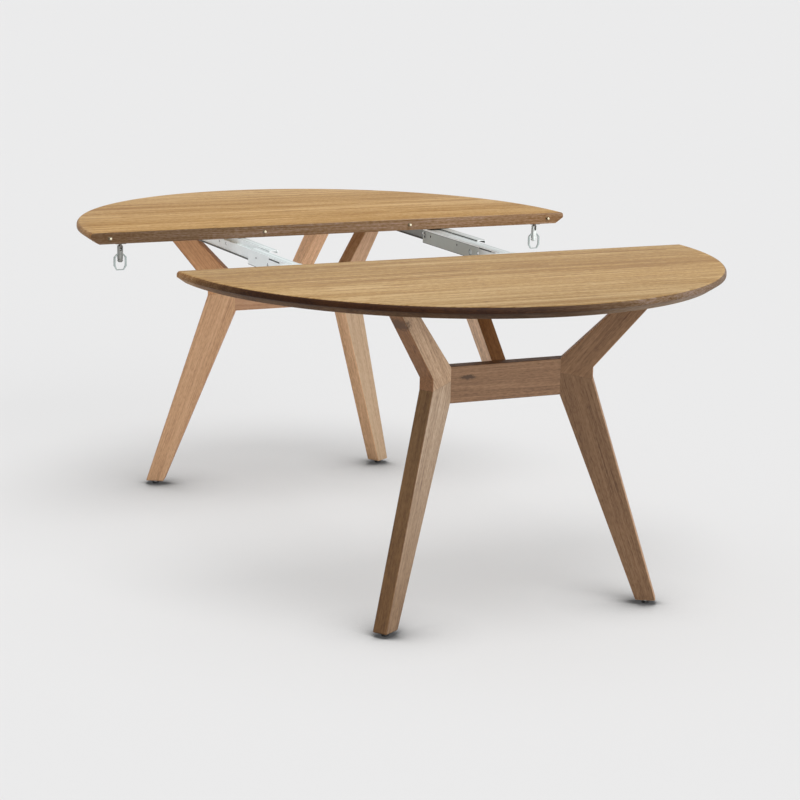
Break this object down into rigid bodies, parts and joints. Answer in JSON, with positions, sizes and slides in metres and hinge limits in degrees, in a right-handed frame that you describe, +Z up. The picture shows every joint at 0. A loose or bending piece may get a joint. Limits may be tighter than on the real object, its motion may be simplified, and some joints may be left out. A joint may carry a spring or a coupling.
{
  "type": "split-top extension table",
  "caption": "Round oak dining table split across the middle, its halves on splayed legs drawn apart on steel runners to take a leaf.",
  "frame": {"origin": "on the floor, under the middle of the open gap between the two half tops", "axes": "+Z up; +X along the cut edges; +Y from the near half to the far half, the way the table draws apart"},
  "size_m": [1.3, 1.8738, 0.745],
  "materials": {
    "oak": "lacquered oak",
    "beech": "plain",
    "zinc_steel": "zinc plated",
    "dark_steel": "burnished",
    "screw_steel": "zinc plated",
    "latch_steel": "zinc plated",
    "glide_steel": "nickel plated",
    "brass": "satin",
    "black_nylon": "moulded",
    "white_nylon": "moulded"
  },
  "bodies": {
    "rear_half": {"rear_top": "oak", "rear_left_leg": "oak", "rear_left_arm": "oak", "rear_right_leg": "oak", "rear_right_arm": "oak", "rear_stretcher": "oak", "rear_brace_arm": "oak", "rear_mitre_dowels": "beech", "rear_stretcher_dowels": "beech", "rear_mounting_plates": "zinc_steel", "left_rear_rail": "zinc_steel", "right_rear_rail": "zinc_steel", "rear_rail_packers": "zinc_steel", "rear_plate_screws": "screw_steel", "rear_rail_screws": "screw_steel", "rear_rail_sliders": "white_nylon", "rear_foot_pads": "black_nylon", "rear_foot_stems": "glide_steel", "alignment_pins": "brass", "left_latch_bracket": "dark_steel", "right_latch_bracket": "dark_steel", "latch_pivot_pins": "latch_steel", "latch_bracket_screws": "screw_steel"},
    "front_half": {"front_top": "oak", "front_left_leg": "oak", "front_left_arm": "oak", "front_right_leg": "oak", "front_right_arm": "oak", "front_stretcher": "oak", "front_brace_arm": "oak", "front_mitre_dowels": "beech", "front_stretcher_dowels": "beech", "front_mounting_plates": "zinc_steel", "left_front_rail": "zinc_steel", "right_front_rail": "zinc_steel", "front_rail_packers": "zinc_steel", "front_plate_screws": "screw_steel", "front_rail_screws": "screw_steel", "front_rail_sliders": "white_nylon", "front_foot_pads": "black_nylon", "front_foot_stems": "glide_steel", "pin_bushes": "brass", "left_latch_keeper": "latch_steel", "right_latch_keeper": "latch_steel", "keeper_screws": "screw_steel"},
    "left_middle_rail": {"left_middle_rail": "zinc_steel", "left_wear_strip": "black_nylon"},
    "left_latch": {"left_latch_barrel": "latch_steel", "left_latch_claw": "latch_steel"},
    "right_middle_rail": {"right_middle_rail": "zinc_steel", "right_wear_strip": "black_nylon"},
    "right_latch": {"right_latch_barrel": "latch_steel", "right_latch_claw": "latch_steel"}
  },
  "joints": [
    {"name": "draw", "type": "slide", "parent": "rear_half", "child": "front_half", "axis": [0, 1, 0], "range_m": [0, 0.5735]},
    {"name": "left_middle_slide", "type": "slide", "parent": "rear_half", "child": "left_middle_rail", "axis": [0, 1, 0], "range_m": [0, 0.28675]},
    {"name": "right_middle_slide", "type": "slide", "parent": "rear_half", "child": "right_middle_rail", "axis": [0, 1, 0], "range_m": [0, 0.28675]},
    {"name": "left_latch_swing", "type": "hinge", "parent": "rear_half", "child": "left_latch", "pos_m": [-0.5715, 0.3, 0.7065], "axis": [-1, 0, 0], "range_deg": [-30, 90]},
    {"name": "right_latch_swing", "type": "hinge", "parent": "rear_half", "child": "right_latch", "pos_m": [0.5715, 0.3, 0.7065], "axis": [-1, 0, 0], "range_deg": [-30, 90]}
  ],
  "couplings": [
    {"joint": "left_middle_slide", "follows": "draw", "ratio": 0.5},
    {"joint": "right_middle_slide", "follows": "draw", "ratio": 0.5}
  ]
}
